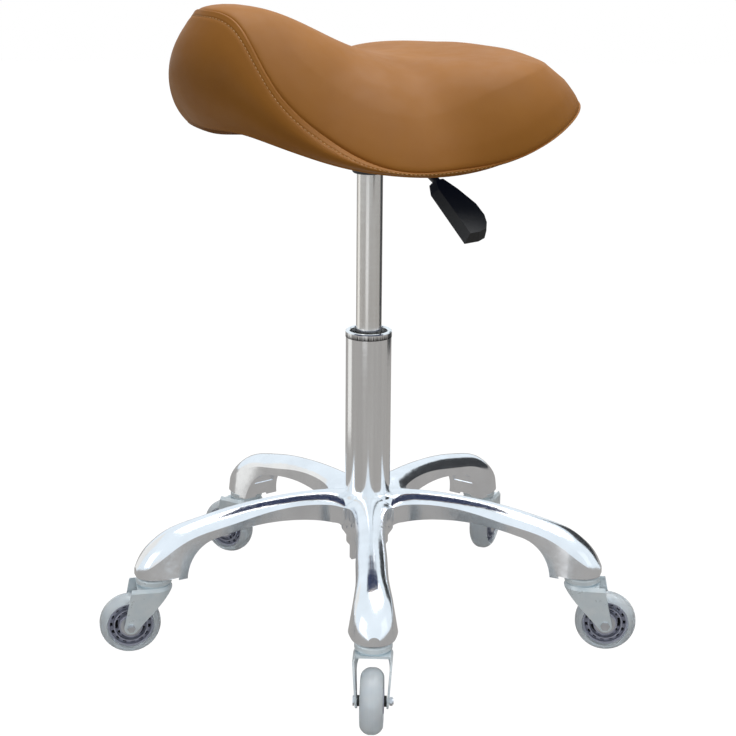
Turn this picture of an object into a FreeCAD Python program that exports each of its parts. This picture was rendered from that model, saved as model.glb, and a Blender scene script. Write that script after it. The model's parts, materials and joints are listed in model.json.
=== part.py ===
import FreeCAD, Part
import Sketcher
import math
import os

Vector = FreeCAD.Vector
Placement = FreeCAD.Placement
Rotation = FreeCAD.Rotation

# Driving sizes, in millimetres and degrees

SIZES = {
    "tube_radius": 25.0,
    "tube_wall": 1.6,
    "tube_top": 334.0,
    "tube_bottom": 88.0,
    "tube_floor": 3.5,
    "tube_nose": 17.0,
    "taper_radius": 23.5,
    "nose_height": 8.0,
    "collar_height": 7.0,
    "collar_lip": 0.4,
    "collar_inner": 20.5,
    "sleeve_length": 84.0,
    "stanchion_radius": 14.0,
    "stanchion_wall": 1.5,
    "stanchion_bottom": 264.0,
    "stanchion_top": 543.0,
    "stanchion_taper": 30.0,
    "stanchion_top_radius": 13.3,
    "rod_radius": 5.0,
    "rod_bottom": 84.5,
    "guide_height": 16.0,
    "piston_height": 8.0,
    "piston_gap": 2.0,
    "running_gap": 0.05,
    "face_gap": 0.3,
    "race_radius": 15.5,
    "race_height": 2.0,
    "ball_radius": 1.75,
    "ball_circle": 11.0,
    "ball_gap": 0.1,
    "ball_count": 12,
    "damper_radius": 12.0,
    "damper_height": 4.0,
    "clip_radius": 10.0,
    "clip_height": 1.2,
    "pin_radius": 4.0,
    "pin_depth": 18.0,
    "pin_bore_depth": 22.0,
    "pin_height": 6.0,
    "valve_height": 28.0,
    "cup_radius": 19.0,
    "cup_bottom": 513.5,
    "cup_top": 545.0,
    "underside": 576.0,
    "plate_length": 160.0,
    "plate_width": 130.0,
    "plate_thickness": 3.0,
    "plate_gap": 0.1,
    "bolt_spacing_x": 120.0,
    "bolt_spacing_y": 96.0,
    "bolt_radius": 4.0,
    "bolt_hole_radius": 4.4,
    "bolt_head_across": 13.0,
    "bolt_head_height": 5.3,
    "bolt_length": 15.0,
    "washer_radius": 9.0,
    "washer_thickness": 1.6,
    "nut_barrel_radius": 5.2,
    "nut_barrel_height": 9.0,
    "nut_flange_radius": 9.5,
    "nut_flange_height": 1.2,
    "channel_length": 76.0,
    "channel_half_width": 40.0,
    "channel_floor": 538.0,
    "channel_thickness": 2.5,
    "lever_rod_radius": 4.0,
    "lever_inner_end": 8.0,
    "lever_bend_reach": 48.0,
    "lever_grip_reach": 128.0,
    "lever_grip_height": 519.5,
    "lever_grip_slope": 32.7,
    "lever_rod_in_grip": 45.0,
    "bush_radius": 8.0,
    "bush_length": 6.0,
    "bush_gap": 0.3,
    "grip_thickness": 10.0,
    "board_thickness": 12.0,
    "cover_thickness": 1.5,
    "flat_share": 0.45,
    "window_front": 120.0,
    "window_rear": 150.0,
    "window_half_width": 105.0,
    "seat_turn": 31.0,
    "hub_radius": 29.0,
    "hub_bottom": 106.0,
    "hub_top": 157.0,
    "web_radius": 46.0,
    "leg_count": 5,
    "leg_wall": 4.0,
    "foot_bottom": 86.8,
    "foot_inner_reach": 213.0,
    "foot_relief": 2.6,
    "foot_relief_radius": 33.0,
    "stem_circle": 245.0,
    "stem_radius": 5.5,
    "stem_depth": 20.0,
    "stem_head_radius": 8.0,
    "stem_head_height": 3.5,
    "washer_ring_radius": 15.0,
    "washer_ring_height": 1.1,
    "head_radius": 19.2,
    "head_height": 6.2,
    "head_groove_radius": 16.5,
    "head_groove_height": 2.2,
    "fork_plate": 2.5,
    "fork_sheet": 2.0,
    "fork_rear": 25.0,
    "fork_plate_rear": 19.0,
    "fork_top_half_width": 20.0,
    "fork_end_half_width": 16.4,
    "fork_end_radius": 7.5,
    "axle_radius": 3.0,
    "axle_head_height": 1.6,
    "axle_head_across": 9.0,
    "axle_nut_height": 3.0,
    "axle_nut_across": 7.5,
    "spacer_radius": 5.5,
    "wheel_radius": 33.0,
    "wheel_width": 24.0,
    "tyre_bore": 24.5,
    "trail": 27.0,
    "core_web": 7.0,
    "core_rim_wall": 2.0,
    "core_ring_radius": 18.4,
    "core_ring_wall": 1.2,
    "core_hub_radius": 12.8,
    "bearing_radius": 11.0,
    "bearing_width": 7.0,
    "bearing_bore": 3.05,
}

# Cross-sections of the saddle along its own long axis, front end first:
# station, crown height, seam half width and height, side middle, bottom edge

SEAT_SECTIONS = [
    (-221.0, 644.0, 4.0, 641.5, 8.0, 633.0, 4.0, 625.0, 624.0),
    (-218.0, 657.0, 15.0, 649.0, 23.0, 633.0, 14.0, 611.0, 606.5),
    (-212.0, 672.0, 24.0, 661.0, 38.0, 632.0, 22.0, 600.0, 594.0),
    (-199.0, 692.0, 30.0, 676.0, 66.0, 621.0, 44.0, 586.0, 579.0),
    (-184.0, 695.5, 49.0, 674.0, 91.0, 610.0, 60.0, 573.0, 575.0),
    (-167.0, 696.0, 94.0, 614.0, 113.0, 584.0, 86.0, 566.0, 575.5),
    (-150.0, 693.6, 113.0, 590.0, 126.0, 570.0, 107.0, 559.0, 576.0),
    (-127.0, 687.2, 128.0, 570.0, 142.0, 557.5, 128.0, 551.0, 576.0),
    (-100.0, 676.6, 153.0, 552.0, 161.0, 546.5, 150.0, 543.0, 576.0),
    (-79.0, 667.3, 168.0, 545.5, 173.0, 542.5, 164.0, 539.5, 576.0),
    (-45.0, 653.1, 177.0, 542.5, 180.0, 539.5, 174.0, 537.0, 576.0),
    (-15.0, 643.6, 179.0, 543.0, 182.0, 540.0, 176.0, 537.0, 576.0),
    (20.0, 639.0, 183.0, 547.0, 185.5, 543.5, 180.0, 540.0, 576.0),
    (50.0, 639.9, 186.0, 553.0, 187.5, 549.5, 182.0, 546.0, 576.0),
    (95.0, 643.1, 184.0, 567.0, 185.5, 563.5, 180.0, 560.0, 576.5),
    (140.0, 640.5, 167.0, 582.0, 168.0, 578.0, 162.0, 573.5, 578.5),
    (170.0, 631.2, 135.0, 588.0, 136.0, 584.0, 129.0, 579.0, 580.5),
    (194.0, 617.3, 90.0, 590.5, 91.0, 586.5, 84.0, 581.0, 582.0),
    (208.0, 606.0, 60.0, 591.0, 60.8, 587.0, 54.0, 582.5, 583.0),
    (221.0, 595.5, 16.0, 592.0, 16.5, 589.0, 12.0, 585.0, 585.0),
]

# Cross-sections of one leg outwards: reach, crown height, shoulder height, half width
# at the shoulder and at the lower edge

LEG_SECTIONS = [
    (10.0, 156.0, 145.0, 29.0, 29.0),
    (30.0, 159.0, 147.0, 28.5, 28.5),
    (38.0, 160.0, 148.5, 26.0, 26.0),
    (46.0, 161.0, 150.0, 21.0, 21.0),
    (56.0, 161.5, 151.0, 18.0, 18.0),
    (75.0, 161.7, 152.0, 16.0, 16.0),
    (112.0, 159.7, 149.5, 15.0, 15.5),
    (150.0, 155.0, 142.0, 16.0, 17.0),
    (185.0, 147.7, 134.5, 16.3, 18.5),
    (208.0, 142.0, 128.0, 17.5, 22.0),
    (226.0, 136.0, 119.5, 20.0, 25.3),
    (241.0, 127.0, 109.5, 20.5, 23.7),
    (252.5, 117.0, 101.5, 18.5, 20.3),
    (260.0, 107.0, 96.0, 13.5, 14.8),
    (265.0, 97.5, 92.0, 6.5, 7.2),
]

# Arch under a leg: reach and height, from the hub out to the foot

ARCH = [(33.0, 124.0), (47.0, 130.0), (110.0, 136.6), (176.0, 127.0), (203.0, 111.0)]

# Plan of the board, right half from front to rear: station and half width

BOARD_PLAN = [(-176.0, 34.0), (-128.0, 100.0), (-62.0, 148.0), (20.0, 166.0), (98.0, 162.0), (166.0, 108.0),
              (198.0, 32.0)]

# Plan of the lever's grip, underside outline: along the grip and across it

GRIP_PLAN = [(-5.0, -7.0), (9.0, -13.0), (80.0, -13.5), (79.0, 4.0), (75.5, 13.5), (66.0, 21.5), (54.0, 25.5),
             (36.0, 25.0), (12.0, 16.5), (-5.0, 8.5)]
GRIP_TOP = [(-3.0, -4.0), (11.0, -8.5), (76.0, -8.0), (75.5, 3.0), (72.5, 11.5), (64.0, 19.0), (53.0, 22.5),
            (36.5, 22.0), (13.0, 13.5), (-3.0, 5.0)]

# Legs by direction, with the way each caster trails, in degrees

CASTERS = [(270.0, 266.0), (342.0, 351.0), (54.0, 66.0), (126.0, 148.0), (198.0, 190.0)]

DOC = FreeCAD.newDocument("saddle_stool")
SHEET = DOC.addObject("Spreadsheet::Sheet", "Sizes")
NODES = []
HELPERS = []


class Size:
    """A number together with the sheet formula that gives it."""

    def __init__(self, value, formula=None):
        self.value = float(value)
        self.formula = formula or repr(float(value))

    def __add__(self, other):
        other = as_size(other)
        return Size(self.value + other.value, f"({self.formula} + {other.formula})")

    def __sub__(self, other):
        other = as_size(other)
        return Size(self.value - other.value, f"({self.formula} - {other.formula})")

    def __mul__(self, other):
        other = as_size(other)
        return Size(self.value * other.value, f"({self.formula} * {other.formula})")

    def __truediv__(self, other):
        other = as_size(other)
        return Size(self.value / other.value, f"({self.formula} / {other.formula})")

    def __radd__(self, other):
        return as_size(other) + self

    def __rsub__(self, other):
        return as_size(other) - self

    def __rmul__(self, other):
        return as_size(other) * self

    def __neg__(self):
        return Size(-self.value, f"(-1 * {self.formula})")


class Via(tuple):
    """A point that an arc passes through, between two corners of an outline."""


def as_size(number):
    return number if isinstance(number, Size) else Size(number)


def size(name):
    return Size(SIZES[name], "Sizes." + name)


def fill_sheet():
    tables = {"seat": SEAT_SECTIONS, "leg": LEG_SECTIONS, "arch": ARCH, "board": BOARD_PLAN,
              "grip": GRIP_PLAN, "griptop": GRIP_TOP}
    for table, rows in tables.items():
        for row_number, row in enumerate(rows):
            for column, value in enumerate(row):
                SIZES[f"{table}_{row_number}_{column}"] = value
    for number, (alias, value) in enumerate(SIZES.items(), start=1):
        cell = f"B{number}"
        SHEET.set(f"A{number}", alias)
        SHEET.set(cell, repr(value))
        SHEET.setAlias(cell, alias)
    DOC.recompute()


def table(name, row_number):
    """One row of a table as sizes that follow the sheet."""
    sizes = []
    while f"{name}_{row_number}_{len(sizes)}" in SIZES:
        sizes.append(size(f"{name}_{row_number}_{len(sizes)}"))
    return sizes


# Building blocks


def new_body(name, placement=None):
    body = DOC.addObject("PartDesign::Body", name)
    body.Label = name
    if placement is not None:
        body.Placement = placement
    return body


def node(item):
    NODES.append(item)
    return item


def origin_plane(body, role):
    return next(item for item in body.Origin.OriginFeatures if item.Role == role)


def pin_down(sketch, index, position, x, y):
    """Ties a sketch point to sheet values."""
    for kind, axis, coordinate in (("DistanceX", -2, as_size(x)), ("DistanceY", -1, as_size(y))):
        if coordinate.value == 0.0:
            sketch.addConstraint(Sketcher.Constraint("PointOnObject", index, position, axis))
            continue
        row = sketch.addConstraint(Sketcher.Constraint(kind, -1, 1, index, position, coordinate.value))
        if "Sizes" in coordinate.formula:
            sketch.setExpression(f"Constraints[{row}]", coordinate.formula)


def flat_point(point):
    return Vector(as_size(point[0]).value, as_size(point[1]).value, 0.0)


def turns_left(start, middle, end):
    return (middle - start).cross(end - middle).z > 0.0


def draw(body, name, role, outline, offset=0.0, shift=0.0):
    """A closed sketch of straight lines, and arcs where a Via stands between two corners."""
    sketch = body.newObject("Sketcher::SketchObject", name)
    sketch.AttachmentSupport = [(origin_plane(body, role), "")]
    sketch.MapMode = "FlatFace"
    offset, shift = as_size(offset), as_size(shift)
    sketch.AttachmentOffset = Placement(Vector(shift.value, 0.0, offset.value), Rotation())
    if "Sizes" in offset.formula:
        sketch.setExpression(".AttachmentOffset.Base.z", offset.formula)
    if "Sizes" in shift.formula:
        sketch.setExpression(".AttachmentOffset.Base.x", shift.formula)
    corners = [point for point in outline if not isinstance(point, Via)]
    vias = {}
    corner = -1
    for point in outline:
        if isinstance(point, Via):
            vias[corner] = point
        else:
            corner += 1
    ends = []
    for number, start in enumerate(corners):
        finish = corners[(number + 1) % len(corners)]
        first, last = flat_point(start), flat_point(finish)
        if number in vias:
            middle = flat_point(vias[number])
            left = turns_left(first, middle, last)
            arc = Part.Arc(first, middle, last) if left else Part.Arc(last, middle, first)
            index = sketch.addGeometry(arc, False)
            ends.append((index, 1, 2) if left else (index, 2, 1))
        else:
            index = sketch.addGeometry(Part.LineSegment(first, last), False)
            ends.append((index, 1, 2))
    for number, (index, begin, _) in enumerate(ends):
        before, _, finish = ends[number - 1]
        sketch.addConstraint(Sketcher.Constraint("Coincident", before, finish, index, begin))
        pin_down(sketch, index, begin, *corners[number])
    for number, via in vias.items():
        index = sketch.addGeometry(Part.Point(flat_point(via)), True)
        pin_down(sketch, index, 1, *via)
        sketch.addConstraint(Sketcher.Constraint("PointOnObject", index, 1, ends[number][0]))
    return sketch


def draw_circle(body, name, role, centre, radius, offset=0.0):
    sketch = body.newObject("Sketcher::SketchObject", name)
    sketch.AttachmentSupport = [(origin_plane(body, role), "")]
    sketch.MapMode = "FlatFace"
    offset = as_size(offset)
    sketch.AttachmentOffset = Placement(Vector(0.0, 0.0, offset.value), Rotation())
    if "Sizes" in offset.formula:
        sketch.setExpression(".AttachmentOffset.Base.z", offset.formula)
    radius = as_size(radius)
    index = sketch.addGeometry(Part.Circle(flat_point(centre), Vector(0, 0, 1), radius.value), False)
    pin_down(sketch, index, 3, *centre)
    row = sketch.addConstraint(Sketcher.Constraint("Radius", index, radius.value))
    if "Sizes" in radius.formula:
        sketch.setExpression(f"Constraints[{row}]", radius.formula)
    return sketch


def feature(body, kind, name, profile):
    item = body.newObject("PartDesign::" + kind, name)
    item.Profile = profile
    item.Refine = False
    body.Tip = item
    return item


def set_length(item, length):
    length = as_size(length)
    item.Length = length.value
    if "Sizes" in length.formula:
        item.setExpression("Length", length.formula)


def pad(body, name, profile, length, symmetric=False, backwards=False):
    item = feature(body, "Pad", name, profile)
    set_length(item, length)
    item.SideType = "Symmetric" if symmetric else "One side"
    item.Reversed = backwards
    return item


def pocket(body, name, profile, length, symmetric=False, backwards=False):
    item = feature(body, "Pocket", name, profile)
    set_length(item, length)
    item.SideType = "Symmetric" if symmetric else "One side"
    item.Reversed = backwards
    return item


def turn(body, name, outline, kind="Revolution", shift=0.0):
    """Turns an outline of radius and height about the body's upright axis, or one that lies further out."""
    profile = draw(body, name + "_profile", "XZ_Plane", outline, shift=shift)
    item = feature(body, kind, name, profile)
    item.ReferenceAxis = (profile, ["V_Axis"])
    item.Angle = 360.0
    return item


def turned(name, outline, placement=None):
    body = new_body(name, placement)
    turn(body, "turned", outline)
    return body


def ring(inner, outer, bottom, top):
    return [(inner, bottom), (outer, bottom), (outer, top), (inner, top)]


def pattern(body, name, features, count):
    item = body.newObject("PartDesign::PolarPattern", name)
    item.Originals = features
    item.Axis = (origin_axis(body, "Z_Axis"), [""])
    item.Angle = 360.0
    item.Occurrences = int(count.value)
    if "Sizes" in count.formula:
        item.setExpression("Occurrences", count.formula)
    item.Refine = False
    body.Tip = item
    return item


def origin_axis(body, role):
    return next(item for item in body.Origin.OriginFeatures if item.Role == role)


def loft(body, kind, name, sections):
    item = feature(body, kind, name, sections[0])
    item.Sections = sections[1:]
    item.Ruled = False
    return item


def boolean(kind, name, base, tool):
    item = DOC.addObject("Part::" + kind, name)
    item.Label = name
    item.Base = base
    item.Tool = tool
    item.Refine = False
    return item


def copies(name, master, placements):
    """Separate copies of one solid, kept together under one name."""
    DOC.recompute()
    shape = Part.makeCompound([master.Shape.transformed(place.toMatrix(), True) for place in placements])
    item = DOC.addObject("Part::Feature", name)
    item.Label = name
    item.Shape = shape
    return item


def hexagon(across):
    side = across / math.sqrt(3.0)
    half = across / 2
    return [(side, 0.0), (side / 2, half), (-side / 2, half), (-side, 0.0), (-side / 2, -half),
            (side / 2, -half)]


SEAT_PLACE = Placement(Vector(0, 0, 0), Rotation(Vector(0, 0, 1), SIZES["seat_turn"]))


# Seat pad, cover and board


def seat_section(body, number, inset):
    station, crown, seam_out, seam_up, side_out, side_up, edge_out, edge_up, flat_up = table("seat", number)
    if number == 0:
        station = station + inset
    if number == len(SEAT_SECTIONS) - 1:
        station = station - inset
    flat_out = edge_out * size("flat_share")
    seam = (seam_out - inset, seam_up - inset * 0.5)
    side = (side_out - inset, side_up)
    edge = (edge_out - inset, edge_up + inset)
    flat = (flat_out, flat_up + inset)
    outline = [
        seam, Via((0.0, crown - inset)), (-seam[0], seam[1]), Via((-side[0], side[1])), (-edge[0], edge[1]),
        (-flat[0], flat[1]), flat, edge, Via(side),
    ]
    return draw(body, f"section_{number}", "YZ_Plane", outline, station)


def saddle(name, inset):
    body = new_body(name, SEAT_PLACE)
    sections = [seat_section(body, number, inset) for number in range(len(SEAT_SECTIONS))]
    loft(body, "AdditiveLoft", "saddle_form", sections)
    return body


def board_layer():
    """The layer of the board between the foam's underside and the board's top."""
    body = new_body("board_layer", SEAT_PLACE)
    inset = size("cover_thickness")
    rise = inset + size("board_thickness")
    drop = size("board_thickness") * 3
    sections = []
    for number in range(3, len(SEAT_SECTIONS) - 1):
        station, _, _, _, _, _, edge_out, edge_up, flat_up = table("seat", number)
        flat_out = edge_out * size("flat_share")
        outline = [
            (edge_out, edge_up + rise), (flat_out, flat_up + rise), (-flat_out, flat_up + rise),
            (-edge_out, edge_up + rise), (-edge_out, edge_up - drop), (edge_out, edge_up - drop),
        ]
        sections.append(draw(body, f"section_{number}", "YZ_Plane", outline, station))
    loft(body, "AdditiveLoft", "layer", sections)
    return body


def board_plan():
    body = new_body("board_plan", SEAT_PLACE)
    half = [table("board", number) for number in range(len(BOARD_PLAN))]
    right = [(half[0][0], -half[0][1]), Via((half[1][0], -half[1][1])), (half[2][0], -half[2][1]),
             Via((half[3][0], -half[3][1])), (half[4][0], -half[4][1]), Via((half[5][0], -half[5][1])),
             (half[6][0], -half[6][1])]
    left = [(half[6][0], half[6][1]), Via((half[5][0], half[5][1])), (half[4][0], half[4][1]),
            Via((half[3][0], half[3][1])), (half[2][0], half[2][1]), Via((half[1][0], half[1][1])),
            (half[0][0], half[0][1])]
    outline = draw(body, "plan", "XY_Plane", right + left, size("cup_bottom"))
    pad(body, "plan_prism", outline, 140.0)
    return body


def bolt_places():
    places = []
    for side_x in (-1, 1):
        for side_y in (-1, 1):
            corner = Vector(side_x * SIZES["bolt_spacing_x"] / 2, side_y * SIZES["bolt_spacing_y"] / 2, 0)
            places.append(SEAT_PLACE * Placement(corner, Rotation()))
    return places


def seat_pieces():
    underside = size("underside")
    cover_gap = size("cover_thickness")
    board_top = underside + cover_gap + size("board_thickness")
    outer = saddle("saddle_outside", Size(0.0))
    pad_blank = saddle("pad_blank", cover_gap)
    layer = boolean("Common", "board_pocket", board_layer(), board_plan())
    nut_bore = turned("nut_bore", [
        (0.0, underside - 20.0), (size("nut_barrel_radius"), underside - 20.0),
        (size("nut_barrel_radius"), board_top), (size("nut_flange_radius"), board_top),
        (size("nut_flange_radius"), board_top + size("nut_flange_height")),
        (0.0, board_top + size("nut_flange_height")),
    ])
    shank_bore = turned("shank_bore", ring(0.0, size("bolt_hole_radius"), underside - 30.0, underside + 5.0))
    nut_bores = copies("nut_bores", nut_bore, bolt_places())
    shank_bores = copies("shank_bores", shank_bore, bolt_places())
    window = DOC.addObject("Part::Box", "cover_window")
    window.Length = SIZES["window_front"] + SIZES["window_rear"]
    window.setExpression("Length", "Sizes.window_front + Sizes.window_rear")
    window.setExpression("Width", "Sizes.window_half_width * 2")
    window.setExpression("Height", "100")
    window.Placement = SEAT_PLACE * Placement(
        Vector(-SIZES["window_front"], -SIZES["window_half_width"], SIZES["underside"] - 94.0), Rotation())
    skin = boolean("Cut", "skin", outer, pad_blank)
    node(boolean("Cut", "seat_cover", skin, window))
    node(boolean("Cut", "dust_cover", boolean("Common", "underlining", skin, window), shank_bores))
    board = boolean("Common", "board_blank", pad_blank, layer)
    node(boolean("Cut", "seat_board", board, nut_bores))
    node(boolean("Cut", "seat_foam", boolean("Cut", "foam_with_pocket", pad_blank, layer), nut_bores))
    HELPERS.extend([outer, pad_blank, nut_bore, shank_bore])


def plate_top():
    return size("underside") - size("plate_gap")


def seat_hardware():
    board_top = size("underside") + size("cover_thickness") + size("board_thickness")
    plate_bottom = plate_top() - size("plate_thickness")
    tee_nut = turned("tee_nut", [
        (size("bolt_radius") + 0.1, board_top - size("nut_barrel_height")),
        (size("nut_barrel_radius"), board_top - size("nut_barrel_height")),
        (size("nut_barrel_radius"), board_top), (size("nut_flange_radius"), board_top),
        (size("nut_flange_radius"), board_top + size("nut_flange_height")),
        (size("bolt_radius") + 0.1, board_top + size("nut_flange_height")),
    ])
    node(copies("tee_nuts", tee_nut, bolt_places()))
    washer_bottom = plate_bottom - size("washer_thickness")
    washer = turned("seat_washer", ring(size("bolt_radius") + 0.2, size("washer_radius"), washer_bottom,
                                        plate_bottom))
    bolt = new_body("seat_bolt")
    head_bottom = washer_bottom - size("bolt_head_height")
    head = draw(bolt, "head_outline", "XY_Plane", hexagon(size("bolt_head_across")), head_bottom)
    pad(bolt, "head", head, size("bolt_head_height"))
    turn(bolt, "shank", ring(0.0, size("bolt_radius"), washer_bottom - 1.0,
                             washer_bottom + size("bolt_length")))
    DOC.recompute()
    both = DOC.addObject("Part::Feature", "bolt_and_washer")
    both.Shape = Part.makeCompound([bolt.Shape, washer.Shape])
    node(copies("seat_bolts", both, bolt_places()))
    HELPERS.extend([tee_nut, washer, bolt])


def mechanism_plate():
    body = node(new_body("mechanism_plate", SEAT_PLACE))
    bottom = plate_top() - size("plate_thickness")
    half_x = size("plate_length") / 2
    half_y = size("plate_width") / 2
    cut = Size(12.0)
    corner_x = half_x - cut
    corner_y = half_y - cut
    outline = [(half_x, -corner_y), (half_x, corner_y), (corner_x, half_y), (-corner_x, half_y),
               (-half_x, corner_y), (-half_x, -corner_y), (-corner_x, -half_y), (corner_x, -half_y)]
    pad(body, "sheet", draw(body, "plate_outline", "XY_Plane", outline, bottom), size("plate_thickness"))
    for number, (side_x, side_y) in enumerate([(-1, -1), (-1, 1), (1, -1), (1, 1)]):
        centre = (size("bolt_spacing_x") * (side_x * 0.5), size("bolt_spacing_y") * (side_y * 0.5))
        hole = draw_circle(body, f"hole_{number}", "XY_Plane", centre, size("bolt_hole_radius"), bottom)
        pocket(body, f"bolt_hole_{number}", hole, size("plate_thickness"), backwards=True)


def lever_bracket():
    """Steel channel under the plate, open at its two ends, with the lever's hole in one wall."""
    body = node(new_body("lever_bracket", SEAT_PLACE))
    outside = size("channel_half_width")
    inside = outside - size("channel_thickness")
    floor = size("channel_floor")
    top = plate_top() - size("plate_thickness")
    outline = [(-outside, floor), (outside, floor), (outside, top), (inside, top),
               (inside, floor + size("channel_thickness")), (-inside, floor + size("channel_thickness")),
               (-inside, top), (-outside, top)]
    pad(body, "channel", draw(body, "channel_section", "YZ_Plane", outline), size("channel_length"),
        symmetric=True)
    cup_hole = draw_circle(body, "cup_hole", "XY_Plane", (0.0, 0.0), size("cup_radius") + size("running_gap"),
                           floor)
    pocket(body, "cup_opening", cup_hole, size("channel_thickness"), backwards=True)
    hole = draw_circle(body, "lever_hole", "XZ_Plane", (0.0, lever_height()), size("bush_radius"), inside)
    pocket(body, "lever_opening", hole, size("channel_thickness"), backwards=True)


def lever_height():
    """Height of the lever rod's axis over the release pin."""
    return size("stanchion_top") + size("pin_height") + size("face_gap") + size("lever_rod_radius")


def taper_cup():
    radius = size("stanchion_radius") + size("running_gap")
    top_radius = size("stanchion_top_radius") + size("running_gap")
    body = node(turned("taper_cup", [
        (radius, size("cup_bottom")), (size("cup_radius") - 1.5, size("cup_bottom")),
        (size("cup_radius"), size("cup_bottom") + 1.5), (size("cup_radius"), size("cup_top")),
        (top_radius, size("cup_top")), (top_radius, size("stanchion_top")),
    ], SEAT_PLACE))
    return body


# Lever


def lever_bush():
    body = node(new_body("lever_bush", SEAT_PLACE))
    wall_middle = size("channel_half_width") - size("channel_thickness") / 2
    start = wall_middle + size("bush_length") / 2
    collar = draw_circle(body, "bush_outside", "XZ_Plane", (0.0, lever_height()), size("bush_radius"), start)
    pad(body, "bush_body", collar, size("bush_length"), backwards=True)
    bore = draw_circle(body, "bush_inside", "XZ_Plane", (0.0, lever_height()),
                       size("lever_rod_radius") + size("bush_gap"), start)
    pocket(body, "bush_bore", bore, size("bush_length"))


def lever_rod():
    """Bent rod: level over the release pin, then down and out into the grip."""
    body = node(new_body("lever_rod", SEAT_PLACE))
    slope = math.radians(SIZES["lever_grip_slope"])
    grip_reach, grip_height = size("lever_grip_reach"), size("lever_grip_height")
    lead = 6.0
    points = [
        (size("lever_inner_end"), lever_height()),
        (-size("lever_bend_reach"), lever_height()),
        (-(grip_reach - lead * math.cos(slope)), grip_height + lead * math.sin(slope)),
        (-(grip_reach + size("lever_rod_in_grip") * math.cos(slope)),
         grip_height - size("lever_rod_in_grip") * math.sin(slope)),
    ]
    path = body.newObject("Sketcher::SketchObject", "rod_path")
    path.AttachmentSupport = [(origin_plane(body, "YZ_Plane"), "")]
    path.MapMode = "FlatFace"
    for number in range(len(points) - 1):
        line = Part.LineSegment(flat_point(points[number]), flat_point(points[number + 1]))
        index = path.addGeometry(line, False)
        pin_down(path, index, 1, *points[number])
        if number:
            path.addConstraint(Sketcher.Constraint("Coincident", index - 1, 2, index, 1))
    pin_down(path, index, 2, *points[-1])
    section = draw_circle(body, "rod_section", "XZ_Plane", (0.0, lever_height()), size("lever_rod_radius"),
                          -size("lever_inner_end"))
    pipe = feature(body, "AdditivePipe", "rod_sweep", section)
    pipe.Spine = (path, [])
    pipe.Transition = "Right corner"


def lever_grip():
    """Flat paddle grip, wider outwards, with sloping flanks and a bore for the rod."""
    reach, height = SIZES["lever_grip_reach"], SIZES["lever_grip_height"]
    tilt = Placement(Vector(0, -reach, height), Rotation(Vector(1, 0, 0), SIZES["lever_grip_slope"]))
    along = Placement(Vector(0, 0, 0), Rotation(Vector(0, 0, 1), -90))
    body = node(new_body("lever_grip", SEAT_PLACE * tilt * along))
    half = size("grip_thickness") / 2
    sections = []
    for name, rows, level in (("grip", GRIP_PLAN, -half), ("griptop", GRIP_TOP, half)):
        outline = [tuple(table(name, number)) for number in range(len(rows))]
        sections.append(draw(body, name + "_outline", "XY_Plane", outline, level))
    loft(body, "AdditiveLoft", "paddle", sections).Ruled = True
    bore = draw_circle(body, "rod_bore", "YZ_Plane", (0.0, 0.0), size("lever_rod_radius"), -8.0)
    pocket(body, "rod_socket", bore, size("lever_rod_in_grip") + 8.0, backwards=True)


# Gas lift


def stanchion():
    inside = size("stanchion_radius") - size("stanchion_wall")
    taper_bottom = size("stanchion_top") - size("stanchion_taper")
    return node(turned("stanchion", [
        (inside, size("stanchion_bottom")), (size("stanchion_radius"), size("stanchion_bottom")),
        (size("stanchion_radius"), taper_bottom), (size("stanchion_top_radius"), size("stanchion_top")),
        (inside, size("stanchion_top")),
    ], SEAT_PLACE))


def lift_pieces():
    inside = size("stanchion_radius") - size("stanchion_wall")
    snug = inside - size("running_gap")
    bore = size("rod_radius") + size("running_gap")
    bottom = size("stanchion_bottom")
    node(turned("rod_guide", ring(bore, snug, bottom, bottom + size("guide_height")), SEAT_PLACE))
    piston_bottom = bottom + size("guide_height") + size("piston_gap")
    piston_top = piston_bottom + size("piston_height")
    node(turned("piston", ring(size("rod_radius"), snug, piston_bottom, piston_top)))
    node(turned("piston_rod", ring(0.0, size("rod_radius"), size("rod_bottom"), piston_top + 2.0)))
    pin_bottom = size("stanchion_top") - size("pin_depth")
    pin_top = size("stanchion_top") + size("pin_height")
    valve_bottom = size("stanchion_top") - size("valve_height")
    pocket_bottom = size("stanchion_top") - size("pin_bore_depth")
    pin_bore = size("pin_radius") + size("running_gap")
    node(turned("valve_block", [
        (0.0, valve_bottom), (snug, valve_bottom), (snug, size("stanchion_top")),
        (pin_bore, size("stanchion_top")), (pin_bore, pocket_bottom), (0.0, pocket_bottom),
    ], SEAT_PLACE))
    node(turned("release_pin", [
        (0.0, pin_bottom), (size("pin_radius"), pin_bottom), (size("pin_radius"), pin_top - 1.0),
        (size("pin_radius") - 1.0, pin_top), (0.0, pin_top),
    ], SEAT_PLACE))


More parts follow.
